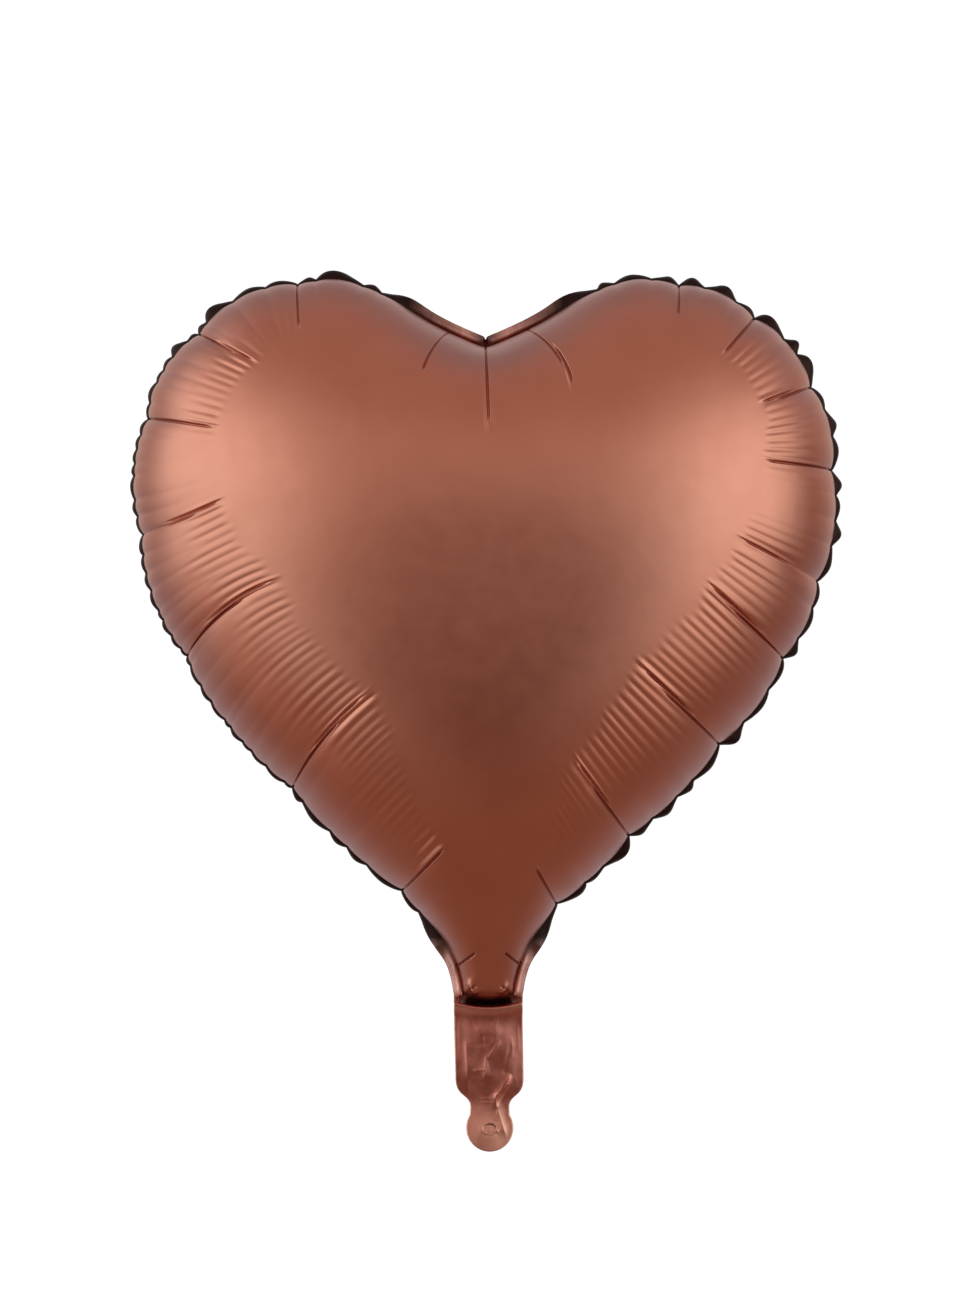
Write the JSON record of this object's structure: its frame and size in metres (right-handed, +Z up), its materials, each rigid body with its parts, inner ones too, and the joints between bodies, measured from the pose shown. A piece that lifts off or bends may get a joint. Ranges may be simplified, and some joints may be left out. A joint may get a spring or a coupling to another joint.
{
  "type": "foil balloon",
  "caption": "Inflated heart-shaped foil balloon with a welded edge, a folding tail and a self-sealing film valve with soft lips.",
  "frame": {"origin": "the middle of the throat, where the tail creases and the ribbon is tied", "axes": "+Z up from the throat through the heart to its cleft; -Y the way the front panel faces; +X to the right seen from the front"},
  "size_m": [0.37, 0.1838, 0.4554],
  "materials": {
    "copper_foil": "metallised film with a satin rose-copper sheen",
    "welded_edge": "the same film, welded flat and puckered, dark copper-brown",
    "clear_film": "clear polyethylene film, smooth"
  },
  "bodies": {
    "envelope": {"front_panel": "copper_foil", "rear_panel": "copper_foil", "edge_weld": "welded_edge"},
    "tail": {"tail_front_film": "copper_foil", "tail_rear_film": "copper_foil", "tail_weld": "welded_edge", "valve_tube_front": "clear_film", "valve_tube_rear": "clear_film"},
    "front_lip": {"valve_lip_front": "clear_film"},
    "rear_lip": {"valve_lip_rear": "clear_film"}
  },
  "joints": [
    {"name": "tail_fold", "type": "hinge", "parent": "envelope", "child": "tail", "pos_m": [0, 0, 0], "axis": [1, 0, 0], "range_deg": [-90, 90]},
    {"name": "front_lip_open", "type": "hinge", "parent": "envelope", "child": "front_lip", "pos_m": [0, 0, 0.002], "axis": [1, 0, 0], "range_deg": [0, 8], "stiffness_Nm_per_rad": 0.0005},
    {"name": "rear_lip_open", "type": "hinge", "parent": "envelope", "child": "rear_lip", "pos_m": [0, 0, 0.002], "axis": [1, 0, 0], "range_deg": [-8, 0], "stiffness_Nm_per_rad": 0.0005}
  ],
  "couplings": [
    {"joint": "rear_lip_open", "follows": "front_lip_open", "ratio": -1}
  ]
}
